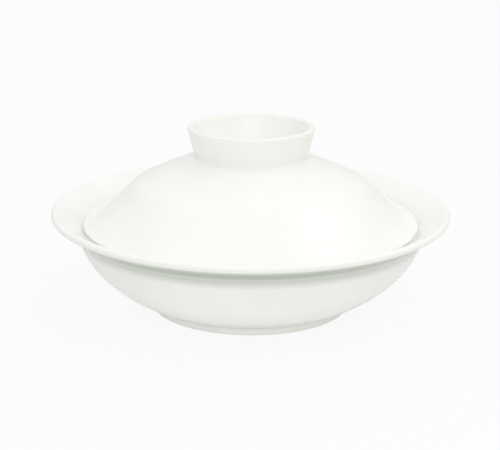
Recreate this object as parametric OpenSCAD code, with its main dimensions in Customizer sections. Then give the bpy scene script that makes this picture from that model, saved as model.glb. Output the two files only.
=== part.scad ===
// Lidded bouillon bowl in glazed porcelain: a wide-brimmed bowl on a foot ring, a domed lid that
// drops onto a flat seat inside the brim, and a flared ring knob luted to the lid's crown.
// Millimetres, +Z up. The origin is on the table, under the middle of the foot ring.

/* [Bowl] */
// Diameter over the rim
rim_d = 203; // [190:1:225]
// Height of the rim above the table
bowl_h = 51.5; // [47:0.5:58]
// Thickness of the brim at its fully rounded lip
brim_t = 3.6; // [2.8:0.1:4.4]
// Thickness of the brim beside the lid's seat
brim_root_t = 4.4; // [3.6:0.1:5.4]
// Slope of the brim beside the lid's seat, in degrees
brim_slope_in = 40; // [34:1:45]
// Slope of the brim at the lip, in degrees
brim_slope_out = 27; // [22:1:32]
// Radius of the soft corner where the wall turns out into the brim
brim_fillet = 2.5; // [1.5:0.1:4]
// Diameter of the bowl's mouth, inside the lid's seat
mouth_d = 165.6; // [158:0.2:172]
// Width of the flat seat that carries the lid
seat_w = 3.2; // [2.6:0.1:4]
// Diameter of the belly where its curve tightens
belly_d = 159.4; // [150:0.2:164]
// Slope of the belly at that diameter, in degrees
belly_slope = 49; // [45:1:53]
// Slope at which the wall runs into the brim, in degrees
wall_slope = 75; // [70:1:82]
// Thickness of the wall
wall_t = 4; // [3.2:0.1:5]
// Thickness of the floor
floor_t = 3.4; // [2.8:0.1:4.4]

/* [Foot ring] */
// Diameter of the foot ring on the table
foot_d = 102; // [92:1:110]
// Height of the foot ring on its outside
foot_h = 4.3; // [3.4:0.1:6]
// How far the foot ring widens from the table up to the belly
foot_flare = 1; // [0.4:0.1:1.6]
// Width of the foot ring on the table, with its rounded edges
foot_w = 4.2; // [3.4:0.1:6]
// Depth of the hollow inside the foot ring
foot_hollow = 2.6; // [1.8:0.1:3.4]
// How far the inside of the foot ring slopes inward up to the hollow's roof
foot_draft = 1; // [0.5:0.1:1.5]
// Slope of the belly where it leaves the foot ring, in degrees
foot_slope = 18.5; // [12:0.5:24]

/* [Lid] */
// Rise from the lid's seat to the land that carries the knob
lid_rise = 35.3; // [32:0.1:39]
// Thickness of the lid
lid_t = 3.2; // [2.6:0.1:3.8]
// Gap between the lid's edge and the foot of the brim
lid_gap = 0.5; // [0.3:0.1:1]
// Radius of the lid's rounded edge
lid_edge_r = 1; // [0.8:0.1:1.3]
// Width of the flat ring on which the lid rests, with its rounded edge
lid_rest_w = 3.6; // [3:0.1:4.4]
// Slope of the lid at its edge, in degrees
lid_edge_slope = 10; // [6:1:20]
// Width of the flattened margin around the lid
margin_w = 2.8; // [2:0.1:5]
// Slope of the lid where it meets that margin, in degrees
margin_slope = 34.5; // [30:0.5:38]
// Diameter of the lid at the foot of its shoulder
shoulder_out_d = 123; // [118:1:130]
// Slope of the lid at the foot of its shoulder, in degrees
shoulder_out_slope = 44; // [40:1:48]
// Diameter of the lid at the top of its shoulder
shoulder_in_d = 114; // [104:1:116]
// Slope of the lid at the top of its shoulder, in degrees
shoulder_in_slope = 26; // [22:1:30]

/* [Ring knob] */
// Diameter of the knob's rim
knob_d = 65; // [60:0.5:72]
// Diameter of the knob where it stands on the lid
knob_base_d = 57.2; // [50:0.2:60]
// Height of the knob above its land
knob_h = 15.4; // [12:0.1:18]
// Thickness of the knob's wall at its base
knob_base_t = 4; // [3.2:0.1:5]
// Thickness of the knob's wall at its rim
knob_t = 3.2; // [2.8:0.1:4]
// Radius of the rounding on both sides of the knob's rim
knob_round = 1.2; // [0.8:0.1:1.3]
// Film of slip between the knob and the crown that centres it
slip_film = 0.15; // [0.1:0.05:0.3]

/* [Hidden] */
$fn = 180;
// Rounding of the small edges: the foot ring and the mouth
edge_round = 0.6;
// Turn between two points on a curve, in degrees
curve_step = 2;

// Radii of the driving diameters
rim_r = rim_d / 2;
mouth_r = mouth_d / 2;
belly_r = belly_d / 2;
foot_r = foot_d / 2;
knob_r = knob_d / 2;
knob_base_r = knob_base_d / 2;
shoulder_out_r = shoulder_out_d / 2;
shoulder_in_r = shoulder_in_d / 2;

// Every outline here is a chain of tangent arcs. A station on it is [radius, height, slope], and
// the chord of an arc has the mean of the slopes at its two ends.
function climb(from_r, to_r, from_slope, to_slope) = (to_r - from_r) * tan((from_slope + to_slope) / 2);
function end_slope(from, to_r, to_z) = 2 * atan2(to_z - from[1], to_r - from[0]) - from[2];
function start_slope(from_r, from_z, to) = 2 * atan2(to[1] - from_z, to[0] - from_r) - to[2];
function aside(station, distance) = [
    station[0] - distance * sin(station[2]), station[1] + distance * cos(station[2]), station[2]
];
function turns(angle) = max(1, ceil(abs(angle) / curve_step));
function point(station) = [station[0], station[1]];

// Points of the arc from one station to the next, without the first one; equal slopes give a straight line
function arc(a, b) =
    let (turn = b[2] - a[2], count = turns(turn), radius = (b[0] - a[0]) / (sin(b[2]) - sin(a[2])))
    turn == 0 ? [point(b)] :
    [for (i = [1:count])
        let (slope = a[2] + turn * i / count)
        [a[0] + radius * (sin(slope) - sin(a[2])), a[1] + radius * (cos(a[2]) - cos(slope))]];

// Points of a whole chain of stations, from the first to the last
function chain(stations) = concat(
    [point(stations[0])],
    [for (i = [1:len(stations) - 1]) each arc(stations[i - 1], stations[i])]);

// Points of a rounding about a centre, from one angle to another
function rounding(centre, radius, from, to) =
    let (count = turns((to - from) / 4))
    [for (i = [0:count]) let (angle = from + (to - from) * i / count)
        centre + radius * [cos(angle), sin(angle)]];

function reversed(points) = [for (i = [len(points) - 1:-1:0]) points[i]];

// The brim: its upper face runs from the lid's seat to the lip, its underside tapers to the lip
seat_r = mouth_r + seat_w;
lip_centre = [rim_r - brim_t / 2, bowl_h - brim_t / 2];
brim_end = aside([lip_centre[0], lip_centre[1], brim_slope_out], brim_t / 2);
seat_z = brim_end[1] - climb(seat_r, brim_end[0], brim_slope_in, brim_slope_out);
brim_start = [seat_r, seat_z, brim_slope_in];
under_end = aside(brim_end, -brim_t);
under_root = aside(brim_start, -brim_root_t);
under_start = [under_root[0], under_root[1], start_slope(under_root[0], under_root[1], under_end)];

// The belly: outside from the foot ring to the brim, and inside from the floor to the mouth
belly_start = [foot_r + foot_flare, foot_h, foot_slope];
belly_mid = [belly_r, foot_h + climb(belly_start[0], belly_r, foot_slope, belly_slope), belly_slope];
wall_end_r = under_start[0] - brim_fillet * (sin(wall_slope) - sin(under_start[2]));
wall_end_z = under_start[1] - brim_fillet * (cos(under_start[2]) - cos(wall_slope));
wall_end = [wall_end_r, wall_end_z, end_slope(belly_mid, wall_end_r, wall_end_z)];
floor_z = foot_hollow + floor_t;
well_mid = aside(belly_mid, wall_t);
floor_edge = [well_mid[0] - (well_mid[1] - floor_z) / tan(belly_slope / 2), floor_z, 0];
well_end_z = seat_z - edge_round;
well_end = [mouth_r, well_end_z, end_slope(well_mid, mouth_r, well_end_z)];

// The lid: outside from its edge up to the land under the knob, inside parallel to that
lid_r = seat_r - lid_gap;
lid_edge_centre = [lid_r - lid_edge_r, seat_z + lid_edge_r];
lid_edge = aside([lid_edge_centre[0], lid_edge_centre[1], -lid_edge_slope], lid_edge_r);
margin_r = lid_edge[0] - margin_w;
margin_z = lid_edge[1] + climb(margin_r, lid_edge[0], lid_edge_slope, margin_slope);
margin = [margin_r, margin_z, -margin_slope];
shoulder_out_z = margin_z + climb(shoulder_out_r, margin_r, margin_slope, shoulder_out_slope);
shoulder_out = [shoulder_out_r, shoulder_out_z, -shoulder_out_slope];
shoulder_in_z = shoulder_out_z + climb(shoulder_in_r, shoulder_out_r, shoulder_out_slope, shoulder_in_slope);
shoulder_in = [shoulder_in_r, shoulder_in_z, -shoulder_in_slope];
land_z = seat_z + lid_rise;
land = [knob_base_r, land_z, start_slope(knob_base_r, land_z, shoulder_in)];
land_slope = -land[2];

// The crown: the dome goes on inside the knob, and stands above the land there to centre the ring
knob_bore_r = knob_base_r - knob_base_t;
crown_r = knob_bore_r - slip_film;
crown_slope = asin(sin(land_slope) * crown_r / knob_base_r);
crown_top = [0, land_z + climb(0, knob_base_r, 0, land_slope), 0];
crown_edge = [crown_r, crown_top[1] - climb(0, crown_r, 0, crown_slope), -crown_slope];
inner_land = aside(land, -lid_t);
inner_top = [0, inner_land[1] + climb(0, inner_land[0], 0, land_slope), 0];
inner_margin = aside(margin, -lid_t);
rest_r = lid_r - lid_rest_w;
inner_edge = [rest_r, seat_z, end_slope(inner_margin, rest_r, seat_z)];

// The ring knob's rim
knob_z = land_z + knob_h;
knob_flare = atan((knob_r - knob_base_r) / knob_h);
knob_lip_z = knob_z - knob_round;

// Glazed porcelain, white with a trace of green
module porcelain() {
    color([0.93, 0.945, 0.915]) children();
}

// Bowl: foot ring, belly, brim and the lid's seat, turned as one piece
module bowl() {
    foot_in_r = foot_r - foot_w;
    outline = concat(
        [[0, foot_hollow], [foot_in_r - foot_draft, foot_hollow]],
        rounding([foot_in_r + edge_round, edge_round], edge_round, 180, 270),
        rounding([foot_r - edge_round, edge_round], edge_round, -90, 0),
        chain([belly_start, belly_mid, wall_end]),
        chain([[wall_end_r, wall_end_z, wall_slope], under_start, under_end]),
        rounding(lip_centre, brim_t / 2, brim_slope_out - 90, brim_slope_out + 90),
        reversed(chain([brim_start, brim_end])),
        rounding([mouth_r + edge_round, well_end_z], edge_round, 90, 180),
        reversed(chain([floor_edge, well_mid, well_end])),
        [[0, floor_z]]);
    porcelain() rotate_extrude() polygon(outline);
}

// Lid: an even shell with a rounded edge, a flat ring to rest on and a land for the knob
module lid() {
    outline = concat(
        chain([crown_top, crown_edge]),
        [[crown_r, land_z]],
        chain([land, shoulder_in, shoulder_out, margin, lid_edge]),
        rounding(lid_edge_centre, lid_edge_r, 90 - lid_edge_slope, -90),
        reversed(chain([
            inner_top, inner_land, aside(shoulder_in, -lid_t), aside(shoulder_out, -lid_t),
            inner_margin, inner_edge])));
    porcelain() rotate_extrude() polygon(outline);
}

// Ring knob: a flared ring, open at the top, that is luted to the land on the lid
module ring_knob() {
    outline = concat(
        [[knob_bore_r, land_z], [knob_base_r, land_z]],
        rounding([knob_r - knob_round, knob_lip_z], knob_round, -knob_flare, 90),
        rounding([knob_r - knob_t + knob_round, knob_lip_z], knob_round, 90, 180 - knob_flare));
    porcelain() rotate_extrude() polygon(outline);
}

bowl();
lid();
ring_knob();
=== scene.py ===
"""Lidded bouillon bowl in glazed porcelain: the looks of its three turned pieces, and their studio."""

import math
from collections import namedtuple

import bmesh
import bpy
from bpy.props import FloatProperty, FloatVectorProperty, IntProperty, PointerProperty
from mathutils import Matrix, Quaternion, Vector
from mathutils.geometry import interpolate_bezier


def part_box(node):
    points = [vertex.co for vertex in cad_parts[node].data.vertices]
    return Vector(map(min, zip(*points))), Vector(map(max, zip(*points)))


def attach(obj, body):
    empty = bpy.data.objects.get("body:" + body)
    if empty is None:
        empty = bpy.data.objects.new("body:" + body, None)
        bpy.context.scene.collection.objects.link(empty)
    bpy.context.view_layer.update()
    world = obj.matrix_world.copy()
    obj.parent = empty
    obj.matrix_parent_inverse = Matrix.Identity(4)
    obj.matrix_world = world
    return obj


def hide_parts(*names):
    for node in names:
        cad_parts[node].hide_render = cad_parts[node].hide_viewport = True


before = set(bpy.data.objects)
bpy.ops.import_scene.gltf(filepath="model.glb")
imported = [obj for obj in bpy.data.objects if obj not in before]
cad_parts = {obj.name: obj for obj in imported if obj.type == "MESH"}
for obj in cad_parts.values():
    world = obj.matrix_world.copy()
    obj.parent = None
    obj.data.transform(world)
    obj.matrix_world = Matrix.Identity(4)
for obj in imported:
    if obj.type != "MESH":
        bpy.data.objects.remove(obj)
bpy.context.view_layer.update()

bl_info = {
    "name": "Lidded Bouillon Bowl",
    "version": (1, 0, 0),
    "blender": (4, 5, 0),
    "location": "View3D > Sidebar > Bouillon Bowl",
    "description": "Turns and glazes a porcelain bowl, its lid and its ring knob, in a white studio",
    "category": "Add Mesh",
}

# The CAD model's box, and the corners of its nodes that the pieces are built to, in metres
_, BOWL_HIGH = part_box("bowl")
LID_LOW, LID_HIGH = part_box("lid")
KNOB_LOW, KNOB_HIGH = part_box("ring_knob")
MM = 0.001

# Headings along an outline, in the half plane of radius and height
OUTWARD = 0.0
INWARD = math.radians(180)
DOWNWARD = math.radians(-90)

# The most that a straight step may cut off an outline's curve, and the most that it may turn
OUTLINE_SAG = 0.02 * MM
OUTLINE_TURN = math.radians(24)

# Points that are closer than this are merged
MERGE_DISTANCE = 0.001 * MM

# How much further the bead of slip climbs the knob's wall than it reaches over the lid
BEAD_CLIMB = 1.5

# How far the middle of a face may lie from a level and still count as on it
LEVEL_TOLERANCE = 0.05 * MM

# Height of the table light above the floor, which would hide it otherwise
TABLE_LIGHT_LIFT = 0.1 * MM

# Index of refraction of the glaze and of the bare body
PORCELAIN_IOR = 1.5

# Plain white, as a node takes it
WHITE = (1, 1, 1, 1)

# A ring where the glaze is tinted, for painted shade and for glaze that thins: in full up to one distance
# from it, and not at all past another
GlazeRing = namedtuple("GlazeRing", "radius height full_to gone_by strength")


def linear(hex_colour):
    """Linear red, green and blue of an sRGB hex colour."""
    shares = [int(hex_colour[i:i + 2], 16) / 255 for i in (1, 3, 5)]
    return [s / 12.92 if s <= 0.04045 else ((s + 0.055) / 1.055) ** 2.4 for s in shares]


# What a user may change

class BowlSizes(bpy.types.PropertyGroup):
    """Sizes of the bowl"""

    rim_radius: FloatProperty(
        name="Rim radius", description="From the axis to the outside of the lip",
        default=BOWL_HIGH.x, unit="LENGTH")
    height: FloatProperty(
        name="Height", description="From the table to the top of the lip",
        default=BOWL_HIGH.z, unit="LENGTH")
    lip_thickness: FloatProperty(
        name="Lip thickness", description="Thickness of the brim at its fully rounded lip",
        default=3.6 * MM, unit="LENGTH")
    root_thickness: FloatProperty(
        name="Root thickness", description="Thickness of the brim beside the lid's seat",
        default=4.4 * MM, unit="LENGTH")
    brim_slope_in: FloatProperty(
        name="Inner brim slope", description="Slope of the brim beside the lid's seat",
        default=math.radians(40), subtype="ANGLE")
    brim_slope_out: FloatProperty(
        name="Outer brim slope", description="Slope of the brim at the lip",
        default=math.radians(27), subtype="ANGLE")
    brim_fillet: FloatProperty(
        name="Brim fillet", description="Radius of the soft corner where the wall turns out into the brim",
        default=2.5 * MM, unit="LENGTH")
    seat_gap: FloatProperty(
        name="Seat gap", description="Gap between the lid's edge and the foot of the brim",
        default=0.5 * MM, unit="LENGTH")
    seat_width: FloatProperty(
        name="Seat width", description="Width of the flat ledge that carries the lid",
        default=3.2 * MM, unit="LENGTH")
    belly_radius: FloatProperty(
        name="Belly radius", description="Radius at which the belly's curve tightens",
        default=79.7 * MM, unit="LENGTH")
    belly_slope: FloatProperty(
        name="Belly slope", description="Slope of the belly at that radius",
        default=math.radians(49), subtype="ANGLE")
    wall_slope: FloatProperty(
        name="Wall slope", description="Slope at which the wall runs into the brim",
        default=math.radians(75), subtype="ANGLE")
    wall_thickness: FloatProperty(
        name="Wall thickness", description="Thickness of the belly's wall",
        default=4 * MM, unit="LENGTH")
    floor_thickness: FloatProperty(
        name="Floor thickness", description="Thickness of the floor inside the foot ring",
        default=3.4 * MM, unit="LENGTH")
    edge_radius: FloatProperty(
        name="Edge radius",
        description="Rounding of the small edges at the foot, at the mouth and at the lid's rest",
        default=0.6 * MM, unit="LENGTH")
    foot_radius: FloatProperty(
        name="Foot radius", description="Outer radius of the foot ring on the table",
        default=51 * MM, unit="LENGTH")
    foot_height: FloatProperty(
        name="Foot height", description="Height of the foot ring on its outside",
        default=4.3 * MM, unit="LENGTH")
    foot_flare: FloatProperty(
        name="Foot flare", description="How far the foot ring widens from the table up to the belly",
        default=1 * MM, unit="LENGTH")
    foot_width: FloatProperty(
        name="Foot width", description="Width of the foot ring on the table",
        default=4.2 * MM, unit="LENGTH")
    foot_hollow: FloatProperty(
        name="Foot hollow", description="Depth of the hollow inside the foot ring",
        default=2.6 * MM, unit="LENGTH")
    foot_draft: FloatProperty(
        name="Foot draft",
        description="How far the foot ring's inside slopes inward up to the hollow's roof",
        default=1 * MM, unit="LENGTH")
    foot_slope: FloatProperty(
        name="Foot slope", description="Slope of the belly where it leaves the foot ring",
        default=math.radians(18.5), subtype="ANGLE")
    crease_radius: FloatProperty(
        name="Crease radius",
        description="Radius of the glaze that fills the creases above and inside the foot ring",
        default=0.8 * MM, unit="LENGTH")
    glaze_line: FloatProperty(
        name="Glaze line", description="Height above the table at which the foot ring's glaze stops",
        default=0.5 * MM, unit="LENGTH")


class LidSizes(bpy.types.PropertyGroup):
    """Sizes of the lid"""

    radius: FloatProperty(
        name="Radius", description="From the axis to the lid's rounded edge",
        default=LID_HIGH.x, unit="LENGTH")
    thickness: FloatProperty(
        name="Thickness", description="Thickness of the shell",
        default=3.2 * MM, unit="LENGTH")
    edge_radius: FloatProperty(
        name="Edge radius", description="Radius of the rounded edge",
        default=1 * MM, unit="LENGTH")
    edge_slope: FloatProperty(
        name="Edge slope", description="Slope of the lid at its edge",
        default=math.radians(10), subtype="ANGLE")
    rest_width: FloatProperty(
        name="Rest width", description="Width of the flat ring that the lid rests on, with its rounded edge",
        default=3.6 * MM, unit="LENGTH")
    margin_width: FloatProperty(
        name="Margin width", description="Width of the flattened margin around the lid",
        default=2.8 * MM, unit="LENGTH")
    margin_slope: FloatProperty(
        name="Margin slope", description="Slope of the lid where it meets that margin",
        default=math.radians(34.5), subtype="ANGLE")
    shoulder_out_radius: FloatProperty(
        name="Outer shoulder radius", description="Radius at the foot of the shoulder",
        default=61.5 * MM, unit="LENGTH")
    shoulder_out_slope: FloatProperty(
        name="Outer shoulder slope", description="Slope at the foot of the shoulder",
        default=math.radians(44), subtype="ANGLE")
    shoulder_in_radius: FloatProperty(
        name="Inner shoulder radius", description="Radius at the top of the shoulder",
        default=57 * MM, unit="LENGTH")
    shoulder_in_slope: FloatProperty(
        name="Inner shoulder slope", description="Slope at the top of the shoulder",
        default=math.radians(26), subtype="ANGLE")


class KnobSizes(bpy.types.PropertyGroup):
    """Sizes of the ring knob"""

    rim_radius: FloatProperty(
        name="Rim radius", description="From the axis to the outside of the knob's rim",
        default=KNOB_HIGH.x, unit="LENGTH")
    base_radius: FloatProperty(
        name="Base radius", description="From the axis to the outside of the knob's base on the lid",
        default=28.6 * MM, unit="LENGTH")
    base_thickness: FloatProperty(
        name="Base thickness", description="Thickness of the wall at its base",
        default=4 * MM, unit="LENGTH")
    rim_thickness: FloatProperty(
        name="Rim thickness", description="Thickness of the wall at its rim",
        default=3.2 * MM, unit="LENGTH")
    rim_rounding: FloatProperty(
        name="Rim rounding", description="Radius of the rounding on both sides of the rim",
        default=1.2 * MM, unit="LENGTH")
    slip_film: FloatProperty(
        name="Slip film", description="Film of slip between the knob and the crown that centres it",
        default=0.15 * MM, unit="LENGTH")
    slip_fillet: FloatProperty(
        name="Slip fillet", description="Reach of the soft bead of slip around the knob's base",
        default=1 * MM, unit="LENGTH")


class Finish(bpy.types.PropertyGroup):
    """Colours and patterns of the porcelain"""

    glaze: FloatVectorProperty(
        name="Glaze", description="Clear glaze over the white body",
        default=linear("#F8FAF5"), subtype="COLOR", min=0, max=1)
    thin_glaze: FloatVectorProperty(
        name="Thin glaze", description="Where the glaze runs thin over a lip and the warm body shows",
        default=linear("#F5F6F1"), subtype="COLOR", min=0, max=1)
    # Painted shade: this green-grey darkens the glaze under the brim and above the foot, where the brim and
    # the table shade it; it also tints the middles of the slow clouds
    pooled_glaze_and_painted_shade: FloatVectorProperty(
        name="Pooled glaze",
        description="Where the glaze gathers under the brim and above the foot, and its green shows",
        default=linear("#ABB1A3"), subtype="COLOR", min=0, max=1)
    biscuit: FloatVectorProperty(
        name="Biscuit", description="Bare fired body on the foot ring and where lid and bowl meet",
        default=linear("#F1EFE9"), subtype="COLOR", min=0, max=1)
    glaze_roughness: FloatProperty(
        name="Glaze roughness", description="Roughness of the fired glaze",
        default=0.16, min=0, max=1, subtype="FACTOR")
    biscuit_roughness: FloatProperty(
        name="Biscuit roughness", description="Roughness of the bare fired body",
        default=0.8, min=0, max=1, subtype="FACTOR")
    cloud_size: FloatProperty(
        name="Cloud size", description="Size of the faint clouds in the glaze",
        default=35 * MM, unit="LENGTH")
    cloud_depth: FloatProperty(
        name="Cloud depth", description="Share of pooled glaze in the middle of a cloud",
        default=0.06, min=0, max=1, subtype="FACTOR")
    ripple_size: FloatProperty(
        name="Ripple size", description="Size of the slow ripple in the glaze",
        default=9 * MM, unit="LENGTH")
    ripple_height: FloatProperty(
        name="Ripple height", description="Height of that ripple",
        default=0.02 * MM, unit="LENGTH")
    # The real grains are about 0.2 mm, too fine to show, so they are drawn coarser
    grit_size: FloatProperty(
        name="Grit size", description="Size of the grains in the bare body",
        default=0.5 * MM, unit="LENGTH")
    grit_height: FloatProperty(
        name="Grit height", description="Height of those grains",
        default=0.05 * MM, unit="LENGTH")


class Studio(bpy.types.PropertyGroup):
    """Camera, lights and floor"""

    camera_distance: FloatProperty(
        name="Camera distance", description="From the camera to the point it looks at",
        default=0.694, unit="LENGTH")
    camera_elevation: FloatProperty(
        name="Camera elevation", description="Angle of the camera above the horizon",
        default=math.radians(16.3), subtype="ANGLE")
    camera_roll: FloatProperty(
        name="Camera roll", description="Turn of the camera about its line of sight",
        default=math.radians(0.4), subtype="ANGLE")
    camera_aim: FloatVectorProperty(
        name="Camera aim", description="Place that the camera looks at",
        default=(-0.3 * MM, 0, 41.24 * MM), subtype="TRANSLATION", unit="LENGTH")
    lens: FloatProperty(
        name="Lens", description="Focal length on a 36 mm wide sensor",
        default=97.06, subtype="DISTANCE_CAMERA")
    floor_size: FloatProperty(
        name="Floor size", description="Side of the square floor",
        default=12, unit="LENGTH")
    floor_colour: FloatVectorProperty(
        name="Floor colour", description="White paper",
        default=linear("#E8E8E8"), subtype="COLOR", min=0, max=1)
    floor_whiteness: FloatProperty(
        name="Floor whiteness", description="Share of plain white that the camera sees in the floor",
        default=0.88, min=0, max=1, subtype="FACTOR")
    floor_gloss: FloatProperty(
        name="Floor gloss", description="Share of that white that reflections show",
        default=0.3, min=0, max=1, subtype="FACTOR")
    horizon: FloatProperty(
        name="Horizon", description="Level of the soft light from the dim walls at the horizon",
        default=0.4, min=0)
    sky: FloatProperty(
        name="Sky", description="Level of the soft light from above",
        default=0.93, min=0)
    sky_rise: FloatProperty(
        name="Sky rise", description="Sine of the elevation at which the soft light reaches the sky's level",
        default=0.6, min=0, max=1, subtype="FACTOR")
    sky_gloss: FloatProperty(
        name="Sky gloss", description="Share of the plain white background that reflections show",
        default=0.7, min=0, max=1, subtype="FACTOR")
    lamp_distance: FloatProperty(
        name="Lamp distance", description="From the bowl to the soft lights",
        default=1, unit="LENGTH")
    lamp_size: FloatProperty(
        name="Lamp size", description="Side of the square soft lights",
        default=0.8, unit="LENGTH")
    front_elevation: FloatProperty(
        name="Front elevation", description="Angle of the front light above the horizon",
        default=math.radians(12), subtype="ANGLE")
    side_elevation: FloatProperty(
        name="Side elevation", description="Angle of the side lights above the horizon",
        default=math.radians(50), subtype="ANGLE")
    side_azimuth: FloatProperty(
        name="Side azimuth", description="Angle of the side lights to the right and left of the camera",
        default=math.radians(85), subtype="ANGLE")
    front_power: FloatProperty(
        name="Front light", description="Power of the soft light in front",
        default=2.1, min=0, subtype="POWER")
    right_power: FloatProperty(
        name="Right light", description="Power of the soft light on the right",
        default=1.3, min=0, subtype="POWER")
    left_power: FloatProperty(
        name="Left light", description="Power of the soft light on the left",
        default=0.5, min=0, subtype="POWER")
    table_radius: FloatProperty(
        name="Table lamp radius", description="Radius of the lit patch of the table under the bowl",
        default=0.11, unit="LENGTH")
    table_spread: FloatProperty(
        name="Table lamp spread", description="Angle into which the lit patch shines",
        default=math.radians(175), subtype="ANGLE")
    table_power: FloatProperty(
        name="Table light", description="Power of the lit patch of the table under the bowl",
        default=0.029, min=0, subtype="POWER")


class BouillonBowl(bpy.types.PropertyGroup):
    """All that a user may change"""

    bowl: PointerProperty(name="Bowl", description="Sizes of the bowl", type=BowlSizes)
    lid: PointerProperty(name="Lid", description="Sizes of the lid", type=LidSizes)
    knob: PointerProperty(name="Knob", description="Sizes of the ring knob", type=KnobSizes)
    finish: PointerProperty(name="Finish", description="Colours and patterns of the porcelain", type=Finish)
    studio: PointerProperty(name="Studio", description="Camera, lights and floor", type=Studio)
    spin_steps: IntProperty(
        name="Spin steps", description="Steps in one turn of a spun outline",
        default=96, min=12)


# Outlines: a station is a radius, a height and the heading of the line there

def ahead(station, distance):
    """The station that far along the station's heading."""
    radius, height, heading = station
    return radius + distance * math.cos(heading), height + distance * math.sin(heading), heading


def beside(station, distance):
    """The station that far to the left of the station's heading."""
    radius, height, heading = station
    return radius - distance * math.sin(heading), height + distance * math.cos(heading), heading


def back(station):
    """The same place, heading the other way."""
    radius, height, heading = station
    return radius, height, heading + math.pi


def turn_between(start, end):
    """Signed turn from one heading to another, at most half a turn."""
    return (end - start + math.pi) % math.tau - math.pi


def climb(start_radius, end_radius, start_slope, end_slope):
    """Height gained by an arc between two radii, whose chord has the mean of its end slopes."""
    return (end_radius - start_radius) * math.tan((start_slope + end_slope) / 2)


def corner(radius, height, before, after, rounding):
    """The two stations at the ends of a rounded corner."""
    cut = rounding * math.tan(abs(turn_between(before, after)) / 2)
    return ahead((radius, height, before), -cut), ahead((radius, height, after), cut)


def outline(stations):
    """Points of the smooth line through the stations, close enough together to follow it."""
    points = []
    for (start_radius, start_height, start), (end_radius, end_height, end) in zip(stations, stations[1:]):
        first = Vector((start_radius, 0, start_height))
        last = Vector((end_radius, 0, end_height))
        length = (last - first).length
        turn = turn_between(start, end)
        # With this reach of its handles, the curve follows a round arc
        reach = length / (3 * math.cos(turn / 4) ** 2)
        leave = Vector((math.cos(start), 0, math.sin(start))) * reach
        arrive = Vector((math.cos(end), 0, math.sin(end))) * reach
        # A step's sag is an eighth of its length times its turn
        sag_steps = math.sqrt(length * abs(turn) / (8 * OUTLINE_SAG))
        steps = max(1, math.ceil(sag_steps), math.ceil(abs(turn) / OUTLINE_TURN))
        points += interpolate_bezier(first, first + leave, last - arrive, last, steps + 1)
    return points


def seat_radii(bowl):
    """Inner and outer radius of the ledge that carries the lid."""
    outer = LID_HIGH.x + bowl.seat_gap
    return outer - bowl.seat_width, outer


def bowl_outline(bowl):
    """The bowl's outline, from the middle of its base round foot, belly, brim and seat into the well."""
    foot_inner_radius = bowl.foot_radius - bowl.foot_width
    hollow_radius = foot_inner_radius - bowl.foot_draft
    foot_inside = math.atan2(-bowl.foot_hollow, bowl.foot_draft)
    foot_outside = math.atan2(bowl.foot_height, bowl.foot_flare)
    belly_start_radius = bowl.foot_radius + bowl.foot_flare
    belly_rise = climb(belly_start_radius, bowl.belly_radius, bowl.foot_slope, bowl.belly_slope)
    belly = (bowl.belly_radius, bowl.foot_height + belly_rise, bowl.belly_slope)

    half_lip = bowl.lip_thickness / 2
    lip = (bowl.rim_radius - half_lip, bowl.height - half_lip, bowl.brim_slope_out)
    under_lip = beside(lip, -half_lip)
    over_lip = back(beside(lip, half_lip))
    mouth_radius, seat_radius = seat_radii(bowl)
    seat_height = LID_LOW.z
    brim_foot = (seat_radius, seat_height, bowl.brim_slope_in)
    root_radius, root_height, _ = beside(brim_foot, -bowl.root_thickness)
    chord = math.atan2(under_lip[1] - root_height, under_lip[0] - root_radius)
    root = (root_radius, root_height, 2 * chord - bowl.brim_slope_out)
    wall_top = (
        root_radius - bowl.brim_fillet * (math.sin(bowl.wall_slope) - math.sin(root[2])),
        root_height - bowl.brim_fillet * (math.cos(root[2]) - math.cos(bowl.wall_slope)),
        bowl.wall_slope)

    floor_height = bowl.foot_hollow + bowl.floor_thickness
    well = back(beside(belly, bowl.wall_thickness))
    floor_radius = well[0] - (well[1] - floor_height) / math.tan(bowl.belly_slope / 2)
    return outline([
        (0, bowl.foot_hollow, OUTWARD),
        *corner(hollow_radius, bowl.foot_hollow, OUTWARD, foot_inside, bowl.crease_radius),
        *corner(foot_inner_radius, 0, foot_inside, OUTWARD, bowl.edge_radius),
        *corner(bowl.foot_radius, 0, OUTWARD, foot_outside, bowl.edge_radius),
        *corner(belly_start_radius, bowl.foot_height, foot_outside, bowl.foot_slope, bowl.crease_radius),
        belly,
        wall_top,
        root,
        under_lip,
        over_lip,
        *corner(seat_radius, seat_height, bowl.brim_slope_in + math.pi, INWARD, bowl.edge_radius),
        *corner(mouth_radius, seat_height, INWARD, DOWNWARD, bowl.edge_radius),
        well,
        (floor_radius, floor_height, INWARD),
        (0, floor_height, INWARD),
    ])


def lid_stations(lid, knob):
    """Stations of the lid's outer face, from the knob's base down to the lid's edge."""
    rest_height = LID_LOW.z
    land_height = KNOB_LOW.z
    edge_centre = (lid.radius - lid.edge_radius, rest_height + lid.edge_radius, -lid.edge_slope)
    edge = beside(edge_centre, lid.edge_radius)
    margin_radius = edge[0] - lid.margin_width
    margin_height = edge[1] + climb(margin_radius, edge[0], lid.edge_slope, lid.margin_slope)
    margin = (margin_radius, margin_height, -lid.margin_slope)
    foot_rise = climb(lid.shoulder_out_radius, margin_radius, lid.margin_slope, lid.shoulder_out_slope)
    shoulder_foot = (lid.shoulder_out_radius, margin_height + foot_rise, -lid.shoulder_out_slope)
    top_rise = climb(
        lid.shoulder_in_radius, lid.shoulder_out_radius, lid.shoulder_out_slope, lid.shoulder_in_slope)
    shoulder_top = (lid.shoulder_in_radius, shoulder_foot[1] + top_rise, -lid.shoulder_in_slope)
    chord = math.atan2(shoulder_top[1] - land_height, shoulder_top[0] - knob.base_radius)
    land = (knob.base_radius, land_height, 2 * chord + lid.shoulder_in_slope)
    return land, shoulder_top, shoulder_foot, margin, edge


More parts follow.
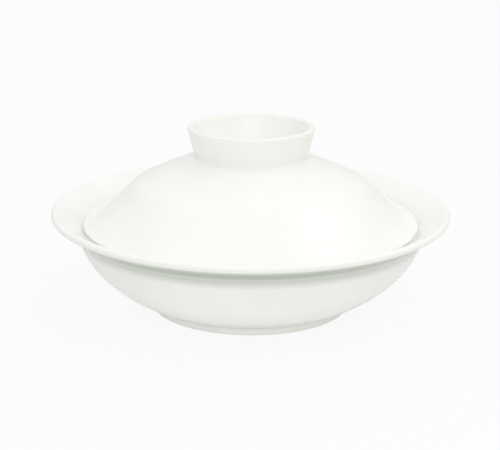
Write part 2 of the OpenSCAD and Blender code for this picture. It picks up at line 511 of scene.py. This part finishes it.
def crown_stations(land, crown_radius):
    """The middle of the crown inside the knob, and its edge at a radius."""
    land_radius, land_height, land_heading = land
    slope = math.asin(math.sin(-land_heading) * crown_radius / land_radius)
    middle_height = land_height + climb(0, land_radius, 0, -land_heading)
    return (
        (0, middle_height, OUTWARD),
        (crown_radius, middle_height - climb(0, crown_radius, 0, slope), -slope))


def lid_outline(lid, knob, bowl):
    """The lid's outline, from the middle of its crown over the dome, round its edge and back underneath."""
    land, *dome = lid_stations(lid, knob)
    crown_radius = knob.base_radius - knob.base_thickness - knob.slip_film
    crown, crown_edge = crown_stations(land, crown_radius)
    inside = [back(beside(station, -lid.thickness)) for station in [land, *dome[:-1]]]
    rest_height = LID_LOW.z
    rest_radius = lid.radius - lid.rest_width
    margin_radius, margin_height, margin_heading = inside[-1]
    chord = math.atan2(margin_height - rest_height, margin_radius - rest_radius)
    inside_top = inside[0][1] + climb(0, inside[0][0], 0, -land[2])
    return outline([
        crown,
        *corner(*crown_edge, DOWNWARD, knob.slip_film),
        *corner(crown_radius, land[1], DOWNWARD, OUTWARD, knob.slip_film),
        *corner(land[0], land[1], OUTWARD, land[2], knob.slip_film),
        *dome,
        (lid.radius - lid.edge_radius, rest_height, INWARD),
        *corner(rest_radius, rest_height, INWARD, 2 * chord - margin_heading, bowl.edge_radius),
        *reversed(inside),
        (0, inside_top, INWARD),
    ])


def knob_outline(lid, knob):
    """The knob's closed outline: its base on the lid, beads of slip, the flared wall and the rounded rim."""
    land = lid_stations(lid, knob)[0]
    land_radius, land_height, _ = land
    bore_radius = land_radius - knob.base_thickness
    rim_height = KNOB_HIGH.z
    rim_inner_radius = knob.rim_radius - knob.rim_thickness
    outside = math.atan2(rim_height - land_height, knob.rim_radius - land_radius)
    inside = math.atan2(land_height - rim_height, bore_radius - rim_inner_radius)
    _, crown_edge = crown_stations(land, bore_radius - knob.slip_film)
    toe = beside(ahead(land, knob.slip_fillet), -knob.slip_film)
    crown_toe = beside(ahead(crown_edge, -knob.slip_fillet), -knob.slip_film)
    wall_foot = (bore_radius, crown_edge[1], inside)
    bead_height = BEAD_CLIMB * knob.slip_fillet
    return outline([
        (bore_radius, land_height, OUTWARD),
        (land_radius, land_height, OUTWARD),
        toe,
        back(toe),
        ahead((land_radius, land_height, outside), bead_height),
        *corner(knob.rim_radius, rim_height, outside, INWARD, knob.rim_rounding),
        *corner(rim_inner_radius, rim_height, INWARD, inside, knob.rim_rounding),
        ahead(wall_foot, -bead_height),
        back(crown_toe),
        crown_toe,
        (bore_radius, crown_edge[1], DOWNWARD),
    ])


# Meshes

def scene_object(name, mesh):
    """An object in the scene, made from a bmesh, which is then freed."""
    data = bpy.data.meshes.new(name)
    mesh.to_mesh(data)
    mesh.free()
    made = bpy.data.objects.new(name, data)
    bpy.context.scene.collection.objects.link(made)
    return made


def turned(name, points, closed, steps):
    """A solid spun from an outline about the upright axis."""
    mesh = bmesh.new()
    verts = [mesh.verts.new(point) for point in points]
    for pair in zip(verts, verts[1:]):
        mesh.edges.new(pair)
    if closed:
        mesh.edges.new((verts[-1], verts[0]))
    bmesh.ops.remove_doubles(mesh, verts=mesh.verts, dist=MERGE_DISTANCE)
    bmesh.ops.spin(
        mesh, geom=mesh.verts[:] + mesh.edges[:], cent=(0, 0, 0), axis=(0, 0, 1), dvec=(0, 0, 0),
        angle=math.tau, steps=steps, use_merge=True)
    bmesh.ops.remove_doubles(mesh, verts=mesh.verts, dist=MERGE_DISTANCE)
    bmesh.ops.recalc_face_normals(mesh, faces=mesh.faces)
    for face in mesh.faces:
        face.smooth = True
    piece = scene_object(name, mesh)
    smoothing = piece.modifiers.new("Subdivision", "SUBSURF")
    smoothing.levels = smoothing.render_levels = 1
    return piece


# Materials

def add_node(tree, kind, inputs=None, **settings):
    """A node with its settings, whose inputs are values or other nodes' outputs."""
    made = tree.nodes.new(kind)
    for name, value in settings.items():
        setattr(made, name, value)
    for name, value in (inputs or {}).items():
        if isinstance(value, bpy.types.NodeSocket):
            tree.links.new(value, made.inputs[name])
        else:
            made.inputs[name].default_value = value
    return made


def new_material(name):
    """The node material of that name, emptied so that its nodes are made afresh."""
    material = bpy.data.materials.get(name) or bpy.data.materials.new(name)
    material.use_nodes = True
    material.node_tree.nodes.clear()
    return material


def painted_shade_rings(bowl):
    """Rings of painted shade, darker than the little glaze that gathers there: under the brim, in its
    corner, and in and above the foot's crease.
    """
    # Painted shade: each ring darkens the glaze where the brim above, the foot's crease or the table shades
    # the surface
    return (
        GlazeRing(
            radius=bowl.rim_radius - 2.5 * MM, height=bowl.height - 12.3 * MM,
            full_to=6.3 * MM, gone_by=10.2 * MM, strength=1.0),
        GlazeRing(
            radius=bowl.rim_radius - 10.5 * MM, height=bowl.height - 12.2 * MM,
            full_to=0, gone_by=6 * MM, strength=0.69),
        GlazeRing(
            radius=bowl.foot_radius + bowl.foot_flare, height=bowl.foot_height,
            full_to=0, gone_by=2 * MM, strength=0.3),
        GlazeRing(
            radius=bowl.foot_radius + 9 * MM, height=bowl.foot_height + 3 * MM,
            full_to=0, gone_by=11 * MM, strength=0.2))


def thinned_glaze(bowl, knob):
    """Rings where the glaze thins: the bowl's lip and the knob's rim."""
    return (
        GlazeRing(
            radius=bowl.rim_radius, height=bowl.height - bowl.lip_thickness / 2,
            full_to=0, gone_by=3 * MM, strength=1.0),
        GlazeRing(
            radius=knob.rim_radius - knob.rim_thickness / 2, height=KNOB_HIGH.z,
            full_to=0, gone_by=2.5 * MM, strength=1.0))


def ring_share(tree, section, rings):
    """How strong the strongest of the rings is at a place in the section."""
    share = 0.0
    for ring in rings:
        away = add_node(
            tree, "ShaderNodeVectorMath", {0: section, 1: (ring.radius, 0, ring.height)},
            operation="DISTANCE")
        near = add_node(
            tree, "ShaderNodeMapRange",
            {"Value": away.outputs["Value"], "From Min": ring.full_to, "From Max": ring.gone_by,
             "To Min": ring.strength, "To Max": 0.0},
            interpolation_type="SMOOTHSTEP")
        strongest = add_node(tree, "ShaderNodeMath", {0: near.outputs[0], 1: share}, operation="MAXIMUM")
        share = strongest.outputs[0]
    return share


def glazed_porcelain(settings):
    """White porcelain under a clear, glossy, faintly green glaze: even, with slow clouds and ripples,
    painted shade in green-grey under the brim and about the foot, and warmer where it thins over a lip."""
    finish = settings.finish
    material = new_material("glazed porcelain")
    tree = material.node_tree
    place = add_node(tree, "ShaderNodeTexCoord").outputs["Object"]
    height = add_node(tree, "ShaderNodeSeparateXYZ", {"Vector": place}).outputs["Z"]
    flat = add_node(tree, "ShaderNodeVectorMath", {0: place, 1: (1, 1, 0)}, operation="MULTIPLY")
    radius = add_node(tree, "ShaderNodeVectorMath", {0: flat.outputs[0]}, operation="LENGTH")
    section = add_node(tree, "ShaderNodeCombineXYZ", {"X": radius.outputs["Value"], "Z": height})
    # Painted shade: how much green-grey darkens the glaze under the brim and about the foot
    painted_shade_share = ring_share(tree, section.outputs[0], painted_shade_rings(settings.bowl))
    thinned = ring_share(tree, section.outputs[0], thinned_glaze(settings.bowl, settings.knob))
    clouds = add_node(
        tree, "ShaderNodeTexNoise", {"Vector": place, "Scale": 1 / finish.cloud_size, "Detail": 2})
    # Most of the noise lies in the range that is spread over the clouds' depth
    cloudy = add_node(
        tree, "ShaderNodeMapRange",
        {"Value": clouds.outputs["Fac"], "From Min": 0.3, "From Max": 0.7,
         "To Min": 0.0, "To Max": finish.cloud_depth})
    # Painted shade and random clouds, whichever is stronger, tint the glaze towards the same green-grey
    cloud_and_shade_share = add_node(tree, "ShaderNodeMath", {0: cloudy.outputs[0], 1: painted_shade_share}, operation="MAXIMUM")
    body = add_node(
        tree, "ShaderNodeMix",
        {"Factor": cloud_and_shade_share.outputs[0], "A": (*finish.glaze, 1), "B": (*finish.pooled_glaze_and_painted_shade, 1)},
        data_type="RGBA")
    colour = add_node(
        tree, "ShaderNodeMix",
        {"Factor": thinned, "A": body.outputs["Result"], "B": (*finish.thin_glaze, 1)},
        data_type="RGBA")
    ripple = add_node(
        tree, "ShaderNodeTexNoise", {"Vector": place, "Scale": 1 / finish.ripple_size, "Detail": 1})
    bump = add_node(
        tree, "ShaderNodeBump",
        {"Strength": 0.5, "Distance": finish.ripple_height, "Height": ripple.outputs["Fac"]})
    shader = add_node(
        tree, "ShaderNodeBsdfPrincipled",
        {"Base Color": colour.outputs["Result"], "Roughness": finish.glaze_roughness,
         "IOR": PORCELAIN_IOR, "Normal": bump.outputs["Normal"]})
    add_node(tree, "ShaderNodeOutputMaterial", {"Surface": shader.outputs["BSDF"]})
    return material


def biscuit_porcelain(settings):
    """Bare fired porcelain, wiped clean of glaze before the firing: matt, creamy and finely gritty."""
    finish = settings.finish
    material = new_material("biscuit porcelain")
    tree = material.node_tree
    place = add_node(tree, "ShaderNodeTexCoord").outputs["Object"]
    grit = add_node(
        tree, "ShaderNodeTexNoise", {"Vector": place, "Scale": 1 / finish.grit_size, "Detail": 3})
    shade = add_node(
        tree, "ShaderNodeMix",
        {"Factor": grit.outputs["Fac"], "A": (*finish.biscuit, 1), "B": (*finish.thin_glaze, 1)},
        data_type="RGBA")
    bump = add_node(
        tree, "ShaderNodeBump",
        {"Strength": 0.4, "Distance": finish.grit_height, "Height": grit.outputs["Fac"]})
    shader = add_node(
        tree, "ShaderNodeBsdfPrincipled",
        {"Base Color": shade.outputs["Result"], "Roughness": finish.biscuit_roughness,
         "IOR": PORCELAIN_IOR, "Normal": bump.outputs["Normal"]})
    add_node(tree, "ShaderNodeOutputMaterial", {"Surface": shader.outputs["BSDF"]})
    return material


def dress(piece, settings, is_bare):
    """Glaze a piece, and leave bare the faces whose radius and height pass the test."""
    materials = piece.data.materials
    materials.append(glazed_porcelain(settings))
    materials.append(biscuit_porcelain(settings))
    biscuit_index = len(materials) - 1
    for face in piece.data.polygons:
        if is_bare(face.center.xy.length, face.center.z):
            face.material_index = biscuit_index


# Studio

def direction(azimuth, elevation):
    """The way from the bowl to a place that is turned to the right of the front, and raised."""
    way = Vector((0, -math.cos(elevation), math.sin(elevation)))
    way.rotate(Quaternion((0, 0, 1), azimuth))
    return way


def aimed(name, data, place, way):
    """A camera or a lamp in the scene, at a place and pointing a way."""
    made = bpy.data.objects.new(name, data)
    made.location = place
    made.rotation_mode = "QUATERNION"
    made.rotation_quaternion = way.to_track_quat("-Z", "Y")
    bpy.context.scene.collection.objects.link(made)
    return made


def front_camera(studio):
    """The camera in front of the bowl."""
    data = bpy.data.cameras.new("camera")
    data.lens = studio.lens
    way = direction(0, studio.camera_elevation)
    camera = aimed("camera", data, studio.camera_aim + way * studio.camera_distance, -way)
    roll = Quaternion((0, 0, 1), studio.camera_roll)
    camera.rotation_quaternion = camera.rotation_quaternion @ roll
    return camera


def background_share(tree, gloss):
    """How much of the plain white background a ray sees: all of it from the camera or through glass,
    part of it in a reflection, and none of it as light on a matt surface."""
    path = add_node(tree, "ShaderNodeLightPath").outputs
    mirrored = add_node(tree, "ShaderNodeMath", {0: path["Is Glossy Ray"], 1: gloss}, operation="MULTIPLY")
    seen = add_node(
        tree, "ShaderNodeMath", {0: path["Is Camera Ray"], 1: mirrored.outputs[0]}, operation="MAXIMUM")
    share = add_node(
        tree, "ShaderNodeMath", {0: seen.outputs[0], 1: path["Is Transmission Ray"]}, operation="MAXIMUM")
    return share.outputs[0]


def white_paper(studio):
    """White paper: matt, and shown mostly as plain white, so that only a soft shadow is left on it."""
    material = new_material("white paper")
    tree = material.node_tree
    seen = background_share(tree, studio.floor_gloss)
    share = add_node(tree, "ShaderNodeMath", {0: seen, 1: studio.floor_whiteness}, operation="MULTIPLY")
    paper = add_node(tree, "ShaderNodeBsdfDiffuse", {"Color": (*studio.floor_colour, 1)})
    white = add_node(tree, "ShaderNodeEmission", {"Color": WHITE, "Strength": 1.0})
    mixed = add_node(
        tree, "ShaderNodeMixShader", {0: share.outputs[0], 1: paper.outputs[0], 2: white.outputs[0]})
    add_node(tree, "ShaderNodeOutputMaterial", {"Surface": mixed.outputs[0]})
    return material


def paper_floor(studio):
    """The square floor that the bowl stands on."""
    mesh = bmesh.new()
    bmesh.ops.create_grid(mesh, x_segments=1, y_segments=1, size=studio.floor_size / 2)
    floor = scene_object("floor", mesh)
    floor.data.materials.append(white_paper(studio))


def soft_world(studio):
    """Soft light from all round, dimmer towards the horizon, which the camera sees as plain white."""
    world = bpy.data.worlds.new("soft studio")
    world.use_nodes = True
    tree = world.node_tree
    tree.nodes.clear()
    way = add_node(tree, "ShaderNodeTexCoord").outputs["Generated"]
    rise = add_node(tree, "ShaderNodeSeparateXYZ", {"Vector": way}).outputs["Z"]
    soft = add_node(
        tree, "ShaderNodeMapRange",
        {"Value": rise, "From Min": 0.0, "From Max": studio.sky_rise,
         "To Min": studio.horizon, "To Max": studio.sky},
        interpolation_type="SMOOTHSTEP")
    seen = background_share(tree, studio.sky_gloss)
    level = add_node(tree, "ShaderNodeMix", {"Factor": seen, "A": soft.outputs[0], "B": 1.0})
    sky = add_node(tree, "ShaderNodeBackground", {"Color": WHITE, "Strength": level.outputs["Result"]})
    add_node(tree, "ShaderNodeOutputWorld", {"Surface": sky.outputs[0]})
    return world


def soft_lamp(name, place, way, power, size):
    """An area lamp that the camera doesn't see."""
    data = bpy.data.lights.new(name, "AREA")
    data.size = size
    data.energy = power
    lamp = aimed(name, data, place, way)
    lamp.visible_camera = False
    return lamp


def studio_lamps(studio):
    """Soft lamps in front and on both sides, and a lit patch of the table that reflections don't show."""
    for name, azimuth, elevation, power in (
            ("front light", 0, studio.front_elevation, studio.front_power),
            ("right light", studio.side_azimuth, studio.side_elevation, studio.right_power),
            ("left light", -studio.side_azimuth, studio.side_elevation, studio.left_power)):
        place = direction(azimuth, elevation) * studio.lamp_distance
        soft_lamp(name, place, -place, power, studio.lamp_size)
    table = soft_lamp(
        "table light", Vector((0, 0, TABLE_LIGHT_LIFT)), Vector((0, 0, 1)), studio.table_power,
        2 * studio.table_radius)
    table.data.shape = "DISK"
    table.data.spread = studio.table_spread
    table.visible_glossy = False


# Operators

class BOUILLON_OT_bowl(bpy.types.Operator):
    """Turn the bowl: foot ring, belly, brim and the lid's seat"""

    bl_idname = "bouillon.bowl"
    bl_label = "Turn Bowl"

    def execute(self, context):
        settings = context.scene.bouillon
        bowl = settings.bowl
        piece = turned("bowl_body", bowl_outline(bowl), closed=False, steps=settings.spin_steps)
        mouth_radius, seat_radius = seat_radii(bowl)

        def is_bare(radius, height):
            on_seat = mouth_radius < radius < seat_radius
            return height < bowl.glaze_line or (on_seat and abs(height - LID_LOW.z) < LEVEL_TOLERANCE)

        dress(piece, settings, is_bare)
        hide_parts("bowl")
        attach(piece, "bowl")
        return {"FINISHED"}


class BOUILLON_OT_lid(bpy.types.Operator):
    """Turn the domed lid"""

    bl_idname = "bouillon.lid"
    bl_label = "Turn Lid"

    def execute(self, context):
        settings = context.scene.bouillon
        points = lid_outline(settings.lid, settings.knob, settings.bowl)
        piece = turned("lid_shell", points, closed=False, steps=settings.spin_steps)
        dress(piece, settings, lambda radius, height: height < LID_LOW.z + LEVEL_TOLERANCE)
        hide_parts("lid")
        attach(piece, "lid")
        return {"FINISHED"}


class BOUILLON_OT_knob(bpy.types.Operator):
    """Turn the ring knob and lute it to the lid"""

    bl_idname = "bouillon.knob"
    bl_label = "Turn Knob"

    def execute(self, context):
        settings = context.scene.bouillon
        points = knob_outline(settings.lid, settings.knob)
        piece = turned("knob_ring", points, closed=True, steps=settings.spin_steps)
        dress(piece, settings, lambda radius, height: False)
        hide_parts("ring_knob")
        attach(piece, "lid")
        return {"FINISHED"}


class BOUILLON_OT_studio(bpy.types.Operator):
    """Set up the camera, the floor and the lights"""

    bl_idname = "bouillon.studio"
    bl_label = "Set Up Studio"

    def execute(self, context):
        scene = context.scene
        studio = scene.bouillon.studio
        scene.view_settings.view_transform = "Standard"
        scene.camera = front_camera(studio)
        paper_floor(studio)
        scene.world = soft_world(studio)
        studio_lamps(studio)
        return {"FINISHED"}


class BOUILLON_PT_panel(bpy.types.Panel):
    """Sizes, finish and studio of the lidded bouillon bowl"""

    bl_idname = "BOUILLON_PT_panel"
    bl_label = "Bouillon Bowl"
    bl_space_type = "VIEW_3D"
    bl_region_type = "UI"
    bl_category = "Bouillon Bowl"

    def draw(self, context):
        settings = context.scene.bouillon
        groups = (
            (BOUILLON_OT_bowl, settings.bowl),
            (BOUILLON_OT_lid, settings.lid),
            (BOUILLON_OT_knob, settings.knob),
            (None, settings.finish),
            (BOUILLON_OT_studio, settings.studio))
        self.layout.prop(settings, "spin_steps")
        for operator, group in groups:
            box = self.layout.box()
            for name in group.__annotations__:
                box.prop(group, name)
            if operator:
                box.operator(operator.bl_idname)


CLASSES = (
    BowlSizes, LidSizes, KnobSizes, Finish, Studio, BouillonBowl,
    BOUILLON_OT_bowl, BOUILLON_OT_lid, BOUILLON_OT_knob, BOUILLON_OT_studio, BOUILLON_PT_panel)


def register():
    """Add the classes and the scene's settings."""
    for cls in CLASSES:
        bpy.utils.register_class(cls)
    bpy.types.Scene.bouillon = PointerProperty(
        name="Bouillon bowl", description="All that a user may change", type=BouillonBowl)


def unregister():
    """Take the settings and the classes away again."""
    del bpy.types.Scene.bouillon
    for cls in reversed(CLASSES):
        bpy.utils.unregister_class(cls)


def main():
    """Make every piece and the studio."""
    register()
    bpy.ops.bouillon.bowl()
    bpy.ops.bouillon.lid()
    bpy.ops.bouillon.knob()
    bpy.ops.bouillon.studio()


if __name__ == "__main__":
    main()
